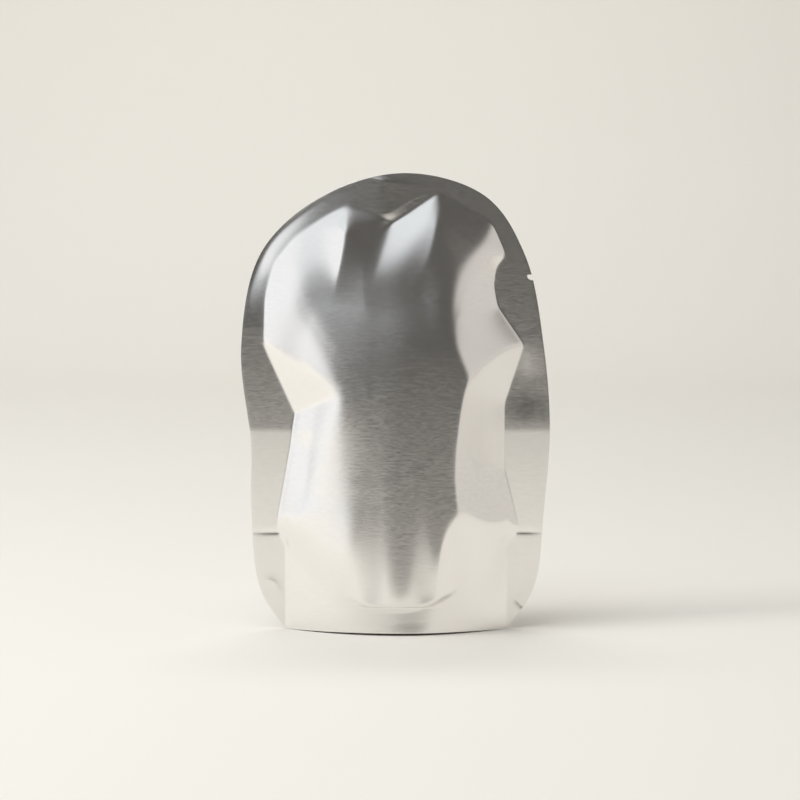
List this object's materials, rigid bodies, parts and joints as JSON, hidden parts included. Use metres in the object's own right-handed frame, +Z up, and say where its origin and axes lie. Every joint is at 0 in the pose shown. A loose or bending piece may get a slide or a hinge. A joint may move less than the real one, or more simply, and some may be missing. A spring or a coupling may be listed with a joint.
{
  "type": "shaped foil stand-up pouch",
  "caption": "Filled stand-up pouch of plain aluminium foil laminate with an asymmetrical rounded outline, a flat welded border, a tear notch and a bottom gusset.",
  "frame": {"origin": "on the table, under the middle of the pouch's box", "axes": "+Z up the pouch from its foot to its rounded top, -Y out of the front panel, +X to the right of someone who looks at the front panel"},
  "size_m": [0.1302, 0.0444, 0.1929],
  "materials": {
    "foil_laminate": "satin, with a fine brushed grain that runs from side to side"
  },
  "bodies": {
    "root": {"pouch": "foil_laminate"}
  },
  "joints": []
}
